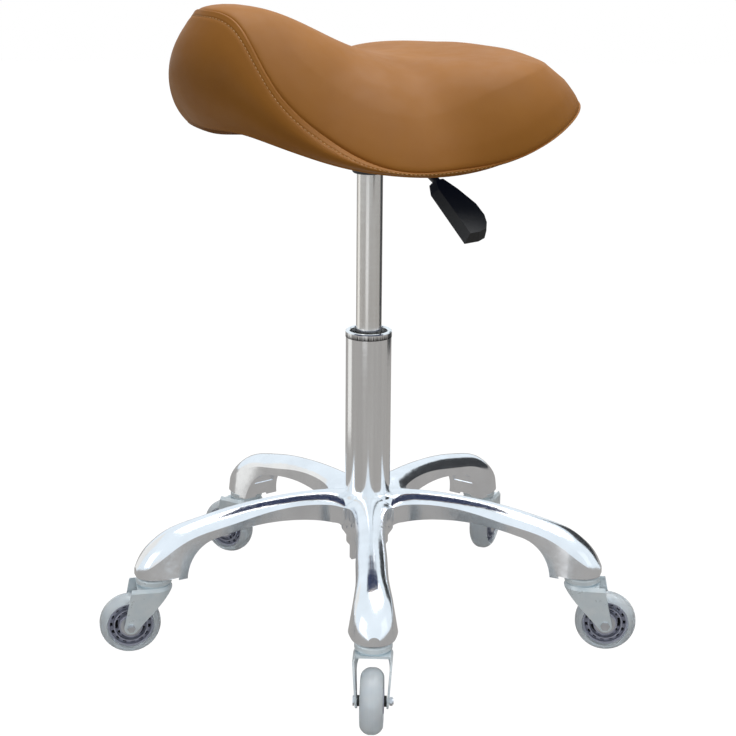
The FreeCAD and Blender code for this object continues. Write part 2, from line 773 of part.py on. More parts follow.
def thrust_bearing():
    bore = size("rod_radius") + size("running_gap")
    seat_bottom = size("tube_bottom") + size("tube_floor")
    seat_top = seat_bottom + size("race_height")
    node(turned("bearing_seat", ring(size("rod_radius") + 1.5, size("race_radius"), seat_bottom, seat_top)))
    ball_height = seat_top + size("ball_gap") + size("ball_radius")
    race_bottom = ball_height + size("ball_radius") + size("ball_gap")
    race_top = race_bottom + size("race_height")
    node(turned("bearing_race", ring(bore, size("race_radius"), race_bottom, race_top)))
    damper_bottom = race_top + size("ball_gap")
    node(turned("rubber_damper", ring(bore, size("damper_radius"), damper_bottom,
                                      damper_bottom + size("damper_height"))))
    clip_top = size("tube_bottom") - size("face_gap")
    node(turned("rod_clip", ring(bore, size("clip_radius"), clip_top - size("clip_height"), clip_top)))
    ball = DOC.addObject("Part::Sphere", "bearing_ball")
    ball.Radius = SIZES["ball_radius"]
    ball.setExpression("Radius", "Sizes.ball_radius")
    places = []
    for number in range(int(SIZES["ball_count"])):
        angle = 2 * math.pi * number / SIZES["ball_count"]
        centre = Vector(math.cos(angle), math.sin(angle), 0) * SIZES["ball_circle"]
        centre.z = ball_height.value
        places.append(Placement(centre, Rotation()))
    node(copies("bearing_balls", ball, places))


def column():
    wall = size("tube_wall")
    floor = size("tube_bottom") + size("tube_floor")
    nose_top = size("tube_bottom") + size("nose_height")
    inner = size("tube_radius") - wall
    node(turned("outer_tube", [
        (size("rod_radius") + 0.4, size("tube_bottom")), (size("tube_nose"), size("tube_bottom")),
        (size("taper_radius"), nose_top), (size("taper_radius"), size("hub_bottom")),
        (size("tube_radius"), size("hub_top")), (size("tube_radius"), size("tube_top")),
        (inner, size("tube_top")), (inner, size("hub_top")),
        (size("taper_radius") - wall, size("hub_bottom")), (size("taper_radius") - wall, nose_top + 1.0),
        (size("tube_nose") - 0.5, floor), (size("rod_radius") + 0.4, floor),
    ]))
    sleeve_bore = size("stanchion_radius") + size("running_gap")
    node(turned("guide_sleeve", ring(sleeve_bore, inner - size("running_gap"),
                                     size("tube_top") - size("sleeve_length"), size("tube_top"))))
    collar_top = size("tube_top") + size("collar_height")
    lip = size("tube_radius") + size("collar_lip")
    node(turned("column_collar", [
        (size("collar_inner"), size("tube_top")), (lip, size("tube_top")), (lip, collar_top - 1.0),
        (lip - 1.0, collar_top), (size("collar_inner") + 1.0, collar_top),
        (size("collar_inner"), collar_top - 1.0),
    ]))


# Base


def star_base():
    body = node(new_body("star_base", Placement(Vector(0, 0, 0), Rotation(Vector(0, 0, 1), -90))))
    hub = size("hub_radius")
    web = size("web_radius")
    sections = []
    for number in range(len(LEG_SECTIONS)):
        reach, crown, shoulder, half, low_half = table("leg", number)
        outline = [(low_half, size("foot_bottom")), (half, shoulder), Via((0.0, crown)), (-half, shoulder),
                   (-low_half, size("foot_bottom"))]
        sections.append(draw(body, f"leg_section_{number}", "YZ_Plane", outline, reach))
    leg = loft(body, "AdditiveLoft", "leg", sections)
    arch_points = [table("arch", number) for number in range(len(ARCH))]
    below = size("foot_bottom") - 6.0
    arch = draw(body, "arch_outline", "XZ_Plane", [
        (hub - 1.0, below), (hub - 1.0, size("hub_bottom") + 6.0), Via(arch_points[0]), tuple(arch_points[1]),
        Via(arch_points[2]), tuple(arch_points[3]), Via(arch_points[4]),
        (size("foot_inner_reach"), size("foot_bottom")), (size("foot_inner_reach"), below),
    ])
    span = pocket(body, "leg_arch", arch, 90.0, symmetric=True)
    hollow_sections = []
    for number in range(4, 10):
        reach, _, shoulder, half, _ = table("leg", number)
        inner = half - size("leg_wall")
        outline = [(inner, size("hub_bottom")), (inner, shoulder - 5.0), (-inner, shoulder - 5.0),
                   (-inner, size("hub_bottom"))]
        hollow_sections.append(draw(body, f"hollow_section_{number}", "YZ_Plane", outline, reach))
    hollow = loft(body, "SubtractiveLoft", "leg_hollow", hollow_sections)
    bore = draw_circle(body, "stem_bore_outline", "XY_Plane", (size("stem_circle"), 0.0),
                       size("stem_radius") + size("running_gap"), size("foot_bottom"))
    stem_bore = pocket(body, "stem_bore", bore, size("stem_depth") + 1.0, backwards=True)
    flat = size("washer_ring_radius") + 1.0
    relief = turn(body, "foot_relief", [
        (flat, below), (size("foot_relief_radius"), below),
        (size("foot_relief_radius"), size("foot_bottom") + size("foot_relief")), (flat, size("foot_bottom")),
    ], "Groove", size("stem_circle"))
    pattern(body, "five_legs", [leg, span, hollow, stem_bore, relief], size("leg_count"))
    turn(body, "hub_room", ring(0.0, hub + 6.0, size("foot_bottom") - 10.0, size("hub_bottom") + 8.0),
         "Groove")
    turn(body, "hub", [
        (0.0, size("hub_bottom")), (hub - 4.0, size("hub_bottom")), (hub, size("hub_bottom") + 6.0),
        (hub, size("hub_bottom") + 20.0), (web - 3.0, size("hub_bottom") + 24.0),
        (web, size("hub_bottom") + 27.0), (web, size("hub_top") - 11.0), (web - 8.0, size("hub_top") - 1.0),
        (size("tube_radius") + 2.5, size("hub_top") - 1.0), (size("tube_radius") + 1.5, size("hub_top")),
        (0.0, size("hub_top")),
    ])
    gap = size("running_gap")
    turn(body, "tube_socket", [
        (0.0, size("hub_bottom") - 5.0), (size("taper_radius") + gap, size("hub_bottom") - 5.0),
        (size("taper_radius") + gap, size("hub_bottom")), (size("tube_radius") + gap, size("hub_top")),
        (size("tube_radius") + gap, size("hub_top") + 12.0), (0.0, size("hub_top") + 12.0),
    ], "Groove")


# Casters


def leg_places():
    places = []
    for direction, trail in CASTERS:
        angle = math.radians(direction)
        spot = Vector(math.cos(angle), math.sin(angle), 0) * SIZES["stem_circle"]
        places.append(Placement(spot, Rotation(Vector(0, 0, 1), trail)))
    return places


def head_top():
    return size("foot_bottom") - size("washer_ring_height") - size("face_gap")


def fork_top():
    return head_top() - size("head_height") - size("head_groove_height")


def stems():
    rivet_top = fork_top() - size("fork_plate") - size("face_gap")
    rivet_bottom = rivet_top - size("stem_head_height")
    stem = turned("stem", [
        (0.0, rivet_bottom), (size("stem_head_radius") - 1.0, rivet_bottom),
        (size("stem_head_radius"), rivet_bottom + 1.0), (size("stem_head_radius"), rivet_top),
        (size("stem_radius"), rivet_top), (size("stem_radius"), size("foot_bottom") + size("stem_depth")),
        (0.0, size("foot_bottom") + size("stem_depth")),
    ])
    node(copies("caster_stems", stem, leg_places()))
    washer = turned("stem_washer", ring(size("stem_radius") + size("running_gap"), size("washer_ring_radius"),
                                        size("foot_bottom") - size("washer_ring_height"),
                                        size("foot_bottom")))
    node(copies("stem_washers", washer, leg_places()))
    HELPERS.extend([stem, washer])


def caster_head(name, place):
    bore = size("stem_radius") + size("running_gap")
    bottom = fork_top()
    ledge = bottom + size("head_groove_height")
    node(turned(name, [
        (bore, bottom), (size("head_groove_radius"), bottom), (size("head_groove_radius"), ledge),
        (size("head_radius"), ledge), (size("head_radius"), head_top() - 2.5),
        Via((size("head_radius") - 0.73, head_top() - 0.73)), (size("head_radius") - 2.5, head_top()),
        (bore, head_top()),
    ], place))


def caster_fork(name, place):
    """Pressed fork: round skirt in front, two tapering sides behind it and a flat top."""
    body = node(new_body(name, place))
    top = fork_top()
    under = top - size("fork_plate")
    axle, trail = size("wheel_radius"), size("trail")
    radius = size("fork_end_radius")
    low = axle - radius - 1.0
    wide, narrow = size("fork_top_half_width"), size("fork_end_half_width")
    sheet = size("fork_sheet")
    half_section = [(narrow, low), (wide, top - 4.0), (wide - 2.0, top), (0.0, top), (0.0, under),
                    (wide - sheet, under), (narrow - sheet, low)]
    half_profile = draw(body, "skirt_section", "YZ_Plane", half_section)
    skirt = feature(body, "Revolution", "round_skirt", half_profile)
    skirt.ReferenceAxis = (half_profile, ["V_Axis"])
    skirt.Angle = 180.0
    outline = [(narrow, low), (wide, top - 4.0), (wide - 2.0, top), (2.0 - wide, top), (-wide, top - 4.0),
               (-narrow, low), (sheet - narrow, low), (sheet - wide, under), (wide - sheet, under),
               (narrow - sheet, low)]
    rear = trail + radius
    shell = draw(body, "fork_section", "YZ_Plane", outline)
    pad(body, "bent_sheet", shell, rear)
    across = wide * 2 + 4.0
    front = wide + 3.0
    trailing = draw(body, "trailing_cut", "XZ_Plane", [
        (size("fork_rear"), top + 1.0), (trail + radius, axle),
        Via((trail + radius * 0.26, axle - radius * 0.966)), (trail - radius * 0.82, axle - radius * 0.573),
        (-wide, under), (-front, under), (-front, low - 5.0), (rear + 5.0, low - 5.0),
        (rear + 5.0, top + 1.0),
    ])
    pocket(body, "side_outline", trailing, across, symmetric=True)
    notch = wide - size("fork_plate")
    open_rear = draw(body, "plate_notch", "XY_Plane", [
        (size("fork_plate_rear"), -notch), (rear + 5.0, -notch), (rear + 5.0, notch),
        (size("fork_plate_rear"), notch)], under - 1.0)
    pocket(body, "open_rear", open_rear, size("fork_plate") + 2.0, backwards=True)
    hole = draw_circle(body, "stem_hole", "XY_Plane", (0.0, 0.0), size("stem_radius") + size("running_gap"),
                       under)
    pocket(body, "stem_opening", hole, size("fork_plate"), backwards=True)
    axle_hole = draw_circle(body, "axle_hole", "XZ_Plane", (trail, axle), size("axle_radius") + 0.1)
    pocket(body, "axle_opening", axle_hole, across, symmetric=True)


def fork_half_gap():
    """Half of the fork's inner width at the height of the axle."""
    top = fork_top() - 4.0
    low = size("wheel_radius") - size("fork_end_radius") - 1.0
    share = (size("wheel_radius") - low) / (top - low)
    narrow = size("fork_end_half_width")
    return narrow + (size("fork_top_half_width") - narrow) * share - size("fork_sheet")


def caster_axle(name, place):
    """Bolt, nut and the two spacers beside the wheel, lying across the fork."""
    gap = fork_half_gap()
    outside = gap + size("fork_sheet") + 0.4
    bolt = new_body(name + "_bolt")
    head = draw(bolt, "head_outline", "XY_Plane", hexagon(size("axle_head_across")), outside)
    pad(bolt, "head", head, size("axle_head_height"))
    turn(bolt, "shank", ring(0.0, size("axle_radius"), -(outside + size("axle_nut_height") + 1.0),
                             outside + 1.0))
    nut = new_body(name + "_nut")
    ring_outline = draw(nut, "nut_outline", "XY_Plane", hexagon(size("axle_nut_across")), -outside)
    pad(nut, "nut", ring_outline, size("axle_nut_height"), backwards=True)
    bore = draw_circle(nut, "nut_bore", "XY_Plane", (0.0, 0.0), size("axle_radius") + 0.05, -outside)
    pocket(nut, "nut_hole", bore, size("axle_nut_height"))
    inner = size("wheel_width") / 2 + 0.1
    spacer = turned(name + "_spacer", ring(size("axle_radius") + 0.05, size("spacer_radius"), inner,
                                           gap - 0.4))
    mirrored = turned(name + "_spacer_b", ring(size("axle_radius") + 0.05, size("spacer_radius"),
                                               -(gap - 0.4), -inner))
    DOC.recompute()
    group = DOC.addObject("Part::Feature", name)
    group.Label = name
    group.Shape = Part.makeCompound([piece.Shape for piece in (bolt, nut, spacer, mirrored)])
    group.Placement = place
    node(group)


def core_window(body, name, inner, outer, middle, half_angle, depth):
    """One window of the wheel core, bounded by two arcs."""
    near, far = inner.value, outer.value
    low, high = math.radians(middle - half_angle), math.radians(middle + half_angle)
    centre = math.radians(middle)

    def spot(radius, angle):
        return (radius * math.cos(angle), radius * math.sin(angle))

    outline = [spot(inner, low), spot(outer, low), Via(spot(outer, centre)), spot(outer, high),
               spot(inner, high), Via(spot(inner, centre))]
    profile = draw(body, name + "_outline", "XY_Plane", outline)
    return pocket(body, name, profile, depth, symmetric=True)


def caster_core(name, place):
    """Moulded core: hub, thin ring and rim on one web, with two rings of windows."""
    body = node(new_body(name, place))
    half = size("wheel_width") / 2
    web = size("core_web") / 2
    hub, bore = size("core_hub_radius"), size("bearing_radius") + 0.02
    mid, rim = size("core_ring_radius"), size("tyre_bore")
    mid_inside = mid - size("core_ring_wall")
    rim_inside = rim - size("core_rim_wall")
    stop = size("bearing_radius") - 2.0
    seat = half - size("bearing_width")
    upper = [(stop, seat), (bore, seat), (bore, half), (hub - 0.4, half), (hub, half - 0.4), (hub, web),
             (mid_inside, web), (mid_inside, half - 2.5), (mid, half - 2.5), (mid, web), (rim_inside, web),
             (rim_inside, half - 4.0), (rim, half - 4.0)]
    lower = [(radius, -height) for radius, height in reversed(upper)]
    turn(body, "core", upper + lower)
    windows = [
        core_window(body, "long_window", hub + 0.8, mid_inside - 0.4, 0.0, 19.0, size("wheel_width")),
        core_window(body, "short_window", hub + 0.8, mid_inside - 0.4, 36.0, 6.0, size("wheel_width")),
    ]
    pattern(body, "windows", windows, Size(5.0))
    outer = core_window(body, "small_window", mid + 0.9, rim_inside - 0.3, 0.0, 5.5, size("wheel_width"))
    pattern(body, "small_windows", [outer], Size(15.0))


def caster_tyre(name, place):
    half = size("wheel_width") / 2
    rim = size("tyre_bore") + 0.02
    shoulder = size("wheel_radius") - 7.5
    node(turned(name, [
        (rim, -(half - 3.0)), (shoulder, -(half - 0.5)), Via((size("wheel_radius") - 2.3, -(half - 4.2))),
        (size("wheel_radius"), -2.5), (size("wheel_radius"), 2.5),
        Via((size("wheel_radius") - 2.3, half - 4.2)), (shoulder, half - 0.5), (rim, half - 3.0),
    ], place))


def caster_bearings(name, place):
    half = size("wheel_width") / 2
    outer = size("bearing_radius")
    bearing = turned(name + "_one", ring(size("bearing_bore"), outer, half - size("bearing_width") + 0.02,
                                         half - 0.3))
    DOC.recompute()
    group = DOC.addObject("Part::Feature", name)
    group.Label = name
    flip = Placement(Vector(0, 0, 0), Rotation(Vector(1, 0, 0), 180))
    group.Shape = Part.makeCompound([bearing.Shape, bearing.Shape.transformed(flip.toMatrix(), True)])
    group.Placement = place
    node(group)


def casters():
    stems()
    for number, place in enumerate(leg_places(), start=1):
        across = Placement(Vector(SIZES["trail"], 0, SIZES["wheel_radius"]), Rotation(Vector(1, 0, 0), 90))
        wheel_place = place * across
        caster_head(f"caster_{number}_head", place)
        caster_fork(f"caster_{number}_fork", place)
        caster_axle(f"caster_{number}_axle", wheel_place)
        caster_core(f"caster_{number}_core", wheel_place)
        caster_tyre(f"caster_{number}_tyre", wheel_place)
        caster_bearings(f"caster_{number}_bearings", wheel_place)


def check_and_write():
    DOC.recompute()
    for item in DOC.Objects:
        if "Invalid" in item.State or "Error" in item.State:
            raise SystemExit(f"{item.Label} failed: {item.State}")
    for item in NODES:
        shape = item.Shape
        if shape.isNull() or not shape.isValid() or not shape.Solids:
            raise SystemExit(f"{item.Label} has no valid solid")
    os.makedirs("parts", exist_ok=True)
    for item in NODES:
        item.Shape.exportStep(os.path.join("parts", item.Label + ".step"))
        box = item.Shape.BoundBox
        print(f"{item.Label}: {len(item.Shape.Solids)} solids, volume {item.Shape.Volume:.1f}, "
              f"z {box.ZMin:.1f} to {box.ZMax:.1f}")


def main():
    fill_sheet()
    seat_pieces()
    seat_hardware()
    mechanism_plate()
    lever_bracket()
    taper_cup()
    lever_bush()
    lever_rod()
    lever_grip()
    stanchion()
    lift_pieces()
    thrust_bearing()
    column()
    star_base()
    casters()
    check_and_write()


main()
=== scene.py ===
import json
import math
import bmesh
import bpy
import numpy as np
from mathutils import Matrix, Vector
from mathutils.bvhtree import BVHTree


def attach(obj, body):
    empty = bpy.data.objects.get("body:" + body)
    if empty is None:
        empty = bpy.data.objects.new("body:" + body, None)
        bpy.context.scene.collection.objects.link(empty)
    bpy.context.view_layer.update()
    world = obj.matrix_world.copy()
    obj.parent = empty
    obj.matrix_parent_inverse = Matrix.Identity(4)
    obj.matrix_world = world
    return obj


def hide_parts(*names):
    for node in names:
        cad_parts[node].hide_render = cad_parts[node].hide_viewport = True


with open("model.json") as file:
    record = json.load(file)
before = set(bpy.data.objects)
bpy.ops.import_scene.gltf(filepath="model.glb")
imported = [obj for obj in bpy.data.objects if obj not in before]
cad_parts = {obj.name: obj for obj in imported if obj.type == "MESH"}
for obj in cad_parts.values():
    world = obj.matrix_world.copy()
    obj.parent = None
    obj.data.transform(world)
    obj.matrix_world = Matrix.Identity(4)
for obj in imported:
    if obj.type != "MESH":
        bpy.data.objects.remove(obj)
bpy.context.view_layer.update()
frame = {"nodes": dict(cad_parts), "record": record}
NODES = frame["nodes"]
RECORD = frame["record"]

# Sizes in millimetres, directions in degrees

MM = 0.001
SEAT_TURN = math.radians(31.0)

# Each caster: the direction of its leg, and the way its wheel trails
CASTER_TURNS = [(270.0, 266.0), (342.0, 351.0), (54.0, 66.0), (126.0, 148.0), (198.0, 190.0)]
STEM_CIRCLE = 245.0
TRAIL = 27.0
WHEEL_RADIUS = 33.0
CORE_HUB, CORE_RIM = 12.9, 22.4
# Half thickness of the dark disc that paints shade into the wheel windows
SHADE_DISC_HALF_WIDTH = 0.6
SPACER_START, SPACER_END = 12.9, 14.6

# The collar is bright above this height and black below it
COLLAR_CAP = 337.6

LINING_LENGTH, LINING_WIDTH, LINING_MIDDLE = 262.0, 204.0, 15.0
LINING_GAP, LINING_THICKNESS = 0.08, 0.45
LINING_CORNER = 0.14
STAPLE_SIZE = (9.0, 1.1, 0.6)
STAPLE_INSET, STAPLE_GAP, STAPLE_SPAN = 14.0, 0.75, 0.86
STAPLES_ALONG, STAPLES_ACROSS = 9, 7

STITCH_PITCH, STITCH_LENGTH, STITCH_WIDTH, STITCH_HEIGHT = 4.5, 3.1, 0.84, 0.6
STITCH_DISTANCE, STITCH_LIFT = 6.7, 0.05

# Materials


def new_material(name):
    material = bpy.data.materials.new(name)
    material.use_nodes = True
    tree = material.node_tree
    return material, tree, tree.nodes["Principled BSDF"]


def add(tree, kind, **inputs):
    node = tree.nodes.new(kind)
    for key, value in inputs.items():
        key = key.replace("_", " ")
        if key in node.inputs:
            node.inputs[key].default_value = value
    return node


def surface_point(tree, scale=(1.0, 1.0, 1.0), turn=0.0):
    """Object coordinates in metres, stretched and turned for a pattern."""
    coordinates = tree.nodes.new("ShaderNodeTexCoord")
    mapping = tree.nodes.new("ShaderNodeMapping")
    mapping.inputs["Scale"].default_value = scale
    mapping.inputs["Rotation"].default_value = (0.0, 0.0, turn)
    tree.links.new(coordinates.outputs["Object"], mapping.inputs["Vector"])
    return mapping.outputs["Vector"]


def noise(tree, vector, scale, detail=3.0, roughness=0.5):
    node = add(tree, "ShaderNodeTexNoise", Scale=scale, Detail=detail, Roughness=roughness)
    tree.links.new(vector, node.inputs["Vector"])
    return node.outputs["Fac"]


def spread(tree, value, low, high, from_low=0.3, from_high=0.7):
    node = add(tree, "ShaderNodeMapRange")
    node.inputs["From Min"].default_value = from_low
    node.inputs["From Max"].default_value = from_high
    node.inputs["To Min"].default_value = low
    node.inputs["To Max"].default_value = high
    tree.links.new(value, node.inputs["Value"])
    return node.outputs["Result"]


def blend_colours(tree, factor, first, second):
    node = tree.nodes.new("ShaderNodeMix")
    node.data_type = "RGBA"
    node.inputs["A"].default_value = (*first, 1.0)
    node.inputs["B"].default_value = (*second, 1.0)
    tree.links.new(factor, node.inputs["Factor"])
    return node.outputs["Result"]


def bump(tree, shader, height, strength, distance):
    node = add(tree, "ShaderNodeBump", Strength=strength, Distance=distance)
    tree.links.new(height, node.inputs["Height"])
    tree.links.new(node.outputs["Normal"], shader.inputs["Normal"])
    return node


def tan_faux_leather(name, tint=(0.345, 0.132, 0.012), shade=(0.305, 0.113, 0.010)):
    """Smooth coated cloth: very fine grain, faint mottling and a broad soft sheen."""
    material, tree, shader = new_material(name)
    vector = surface_point(tree)
    mottle = noise(tree, vector, 14.0, 4.0)
    colour = blend_colours(tree, spread(tree, mottle, 0.0, 1.0), shade, tint)
    tree.links.new(colour, shader.inputs["Base Color"])
    grain = add(tree, "ShaderNodeTexVoronoi", Scale=1500.0)
    tree.links.new(vector, grain.inputs["Vector"])
    tree.links.new(spread(tree, noise(tree, vector, 60.0), 0.52, 0.6), shader.inputs["Roughness"])
    shader.inputs["Specular IOR Level"].default_value = 0.26
    bump(tree, shader, grain.outputs["Distance"], 0.05, 0.0003)
    return material


def stitching_thread():
    material, tree, shader = new_material("stitching_thread")
    vector = surface_point(tree)
    colour = blend_colours(tree, noise(tree, vector, 900.0), (0.60, 0.33, 0.12), (0.72, 0.44, 0.19))
    tree.links.new(colour, shader.inputs["Base Color"])
    shader.inputs["Roughness"].default_value = 0.6
    return material


def polished_casting():
    """Hand-polished cast aluminium: bright, faintly wavy, with fine buffing marks."""
    material, tree, shader = new_material("polished_casting")
    vector = surface_point(tree)
    shader.inputs["Metallic"].default_value = 1.0
    colour = blend_colours(tree, spread(tree, noise(tree, vector, 30.0), 0.0, 1.0), (0.84, 0.86, 0.89),
                           (0.93, 0.95, 0.98))
    tree.links.new(colour, shader.inputs["Base Color"])
    tree.links.new(spread(tree, noise(tree, vector, 260.0), 0.13, 0.2), shader.inputs["Roughness"])
    waves = noise(tree, vector, 38.0, 2.0)
    bump(tree, shader, waves, 0.1, 0.003)
    return material


def tube_steel(name, colour_low, colour_high, rough_low, rough_high, streak=160.0):
    """Ground round tube: streaks along its length and faint rings across it."""
    material, tree, shader = new_material(name)
    shader.inputs["Metallic"].default_value = 1.0
    streaks = noise(tree, surface_point(tree, (1.0, 1.0, 0.012)), streak, 3.0)
    rings = noise(tree, surface_point(tree, (0.05, 0.05, 1.0)), 420.0, 2.0)
    colour = blend_colours(tree, spread(tree, streaks, 0.0, 1.0), colour_low, colour_high)
    tree.links.new(colour, shader.inputs["Base Color"])
    tree.links.new(spread(tree, rings, rough_low, rough_high), shader.inputs["Roughness"])
    bump(tree, shader, streaks, 0.015, 0.0004)
    return material


def plated_sheet():
    """Bright zinc plating: bluish, with a faint mottled bloom."""
    material, tree, shader = new_material("bright_zinc_plating")
    shader.inputs["Metallic"].default_value = 0.2
    vector = surface_point(tree)
    colour = blend_colours(tree, spread(tree, noise(tree, vector, 70.0), 0.0, 1.0), (0.80, 0.90, 0.95),
                           (0.90, 0.97, 1.0))
    tree.links.new(colour, shader.inputs["Base Color"])
    tree.links.new(spread(tree, noise(tree, vector, 150.0), 0.26, 0.38), shader.inputs["Roughness"])
    bump(tree, shader, noise(tree, vector, 600.0), 0.05, 0.0003)
    return material


def plain_finish(name, low, high, rough_low, rough_high, metallic=0.0, scale=120.0, grain=900.0, depth=0.04):
    """A painted, moulded or machined finish with slight mottling and fine texture."""
    material, tree, shader = new_material(name)
    shader.inputs["Metallic"].default_value = metallic
    vector = surface_point(tree)
    tree.links.new(blend_colours(tree, noise(tree, vector, scale), low, high), shader.inputs["Base Color"])
    tree.links.new(spread(tree, noise(tree, vector, scale * 2.0), rough_low, rough_high),
                   shader.inputs["Roughness"])
    bump(tree, shader, noise(tree, vector, grain), depth, 0.0004)
    return material


def tyre_polyurethane():
    material, tree, shader = new_material("blue_grey_tyre")
    vector = surface_point(tree)
    colour = blend_colours(tree, spread(tree, noise(tree, vector, 90.0), 0.0, 1.0), (0.88, 0.95, 1.0),
                           (0.94, 0.98, 1.0))
    tree.links.new(colour, shader.inputs["Base Color"])
    shader.inputs["Roughness"].default_value = 0.22
    shader.inputs["Transmission Weight"].default_value = 0.4
    shader.inputs["IOR"].default_value = 1.45
    return material


def lining_cloth():
    """Thin bonded cloth with a small pressed pattern."""
    material, tree, shader = new_material("lining_cloth")
    vector = surface_point(tree)
    cells = add(tree, "ShaderNodeTexVoronoi", Scale=420.0, Randomness=0.15)
    tree.links.new(vector, cells.inputs["Vector"])
    colour = blend_colours(tree, cells.outputs["Distance"], (0.028, 0.028, 0.030), (0.012, 0.012, 0.013))
    tree.links.new(colour, shader.inputs["Base Color"])
    shader.inputs["Roughness"].default_value = 0.95
    bump(tree, shader, cells.outputs["Distance"], 0.4, 0.0004)
    return material


def bare_plywood():
    material, tree, shader = new_material("bare_plywood")
    grain = noise(tree, surface_point(tree, (1.0, 9.0, 9.0), SEAT_TURN), 30.0, 5.0)
    tree.links.new(blend_colours(tree, grain, (0.50, 0.34, 0.18), (0.68, 0.50, 0.30)),
                   shader.inputs["Base Color"])
    shader.inputs["Roughness"].default_value = 0.7
    return material


FINISHES = {
    "seat_leather": tan_faux_leather("tan_faux_leather"),
    "foam": plain_finish("moulded_foam", (0.70, 0.62, 0.40), (0.80, 0.72, 0.50), 0.9, 0.98),
    "plywood": bare_plywood(),
    "lining_cloth": lining_cloth(),
    "zinc_steel": plain_finish("zinc_plated_steel", (0.55, 0.57, 0.60), (0.72, 0.74, 0.78), 0.28, 0.42, 1.0),
    "black_steel": plain_finish("black_powder_coat", (0.010, 0.010, 0.011), (0.022, 0.022, 0.024), 0.38, 0.5,
                                grain=1400.0, depth=0.15),
    "black_nylon": plain_finish("black_nylon", (0.012, 0.012, 0.013), (0.025, 0.025, 0.026), 0.45, 0.55),
    "black_plastic": plain_finish("black_grip_plastic", (0.002, 0.002, 0.002), (0.004, 0.004, 0.004), 0.5,
                                  0.5, grain=1800.0, depth=0.12),
    "ground_steel": tube_steel("ground_lift_tube", (0.84, 0.83, 0.81), (0.95, 0.94, 0.92), 0.2, 0.26),
    "black_rubber": plain_finish("black_rubber", (0.012, 0.012, 0.012), (0.022, 0.022, 0.022), 0.7, 0.85),
    "polished_tube": tube_steel("polished_column_tube", (0.86, 0.87, 0.88), (0.95, 0.96, 0.97), 0.12, 0.18),
    "clear_nylon": plain_finish("pale_nylon", (0.62, 0.63, 0.62), (0.72, 0.73, 0.72), 0.25, 0.35),
    "black_ring": plain_finish("black_collar_plastic", (0.006, 0.006, 0.007), (0.012, 0.012, 0.013), 0.25,
                               0.35),
    "polished_aluminium": polished_casting(),
    "zinc_plate": plated_sheet(),
    "wheel_plastic": plain_finish("wheel_core_plastic", (0.42, 0.44, 0.54), (0.52, 0.54, 0.64), 0.25, 0.35),
    "blue_grey_tyre": tyre_polyurethane(),
}


def dress_cad_nodes():
    slots = {row["node"]: row["material_slot"] for row in RECORD["subparts"]}
    for name, node in NODES.items():
        node.data.materials.clear()
        node.data.materials.append(FINISHES[slots[name]])


def second_finish(name, slot, chosen):
    """Gives the faces of a CAD node that a test picks a second material."""
    mesh = NODES[name].data
    mesh.materials.append(FINISHES[slot])
    for face in mesh.polygons:
        if chosen(face.center / MM, face.normal):
            face.material_index = 1


def dress_details():
    second_finish("column_collar", "polished_tube", lambda point, normal: point.z > COLLAR_CAP)
    for number, (direction, trail) in enumerate(CASTER_TURNS, start=1):
        across = Vector((-math.sin(math.radians(trail)), math.cos(math.radians(trail)), 0.0))
        hub = wheel_centre(direction, trail)
        second_finish(f"caster_{number}_axle", "black_nylon",
                      lambda point, normal: SPACER_START < abs((point - hub).dot(across)) < SPACER_END)


def wheel_centre(direction, trail):
    leg, back = math.radians(direction), math.radians(trail)
    return Vector((STEM_CIRCLE * math.cos(leg) + TRAIL * math.cos(back),
                   STEM_CIRCLE * math.sin(leg) + TRAIL * math.sin(back), WHEEL_RADIUS))


dress_cad_nodes()
dress_details()

# Pieces


def piece_from(bm, name, material, smooth=True):
    """Turns a finished bmesh into an object at the origin."""
    mesh = bpy.data.meshes.new(name)
    bm.to_mesh(mesh)
    bm.free()
    mesh.materials.append(material)
    if smooth:
        mesh.shade_smooth()
    piece = bpy.data.objects.new(name, mesh)
    bpy.context.scene.collection.objects.link(piece)
    return piece


def finish_piece(piece, body, slot, *nodes):
    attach(piece, body)
    if nodes:
        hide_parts(*nodes)
    return piece


# Saddle form: everything in millimetres in the seat's own frame, nose towards -X

KNOTS = np.radians([0, 12, 25, 50, 75, 95, 115, 135, 150, 165, 180])
RIM_REACH = np.array([221.5, 217.0, 214.5, 219.5, 200.5, 180, 186, 180.5, 192.5, 188, 192])
RIM_HEIGHT = np.array([591.5, 590.5, 592.0, 584.0, 552.5, 542.5, 545.5, 573.5, 618, 677.5, 689.5])
RIM_SLOPE = np.array([-1.17, -1.28, -1.28, -1.55, -2.18, -1.81, -1.71, -1.55, -1.21, -0.48, -0.34])
SHOULDER = np.array([4.2, 5.0, 5.6, 7.2, 6.0, 0, 0, 0, 0, 0, 0])
LOWER_REACH = RIM_REACH + np.array([-5, -5, -5, -7, -8.5, -5, -5, 1.5, -1.5, 5, 4])
LOWER_HEIGHT = np.array([582, 584, 585.5, 582.5, 550, 537.5, 541, 551.5, 566, 575.5, 575.5])
PANEL_BULGE = np.array([2, 2, 2, 1.6, 3, 3.7, 5.8, 12.4, 13.3, 23.5, 26.0])
DISH_HEIGHT, DISH_SLOPE = 640.7, -0.161
DISH_CURVE_ALONG, DISH_CURVE_ACROSS = 0.0071, -0.00506


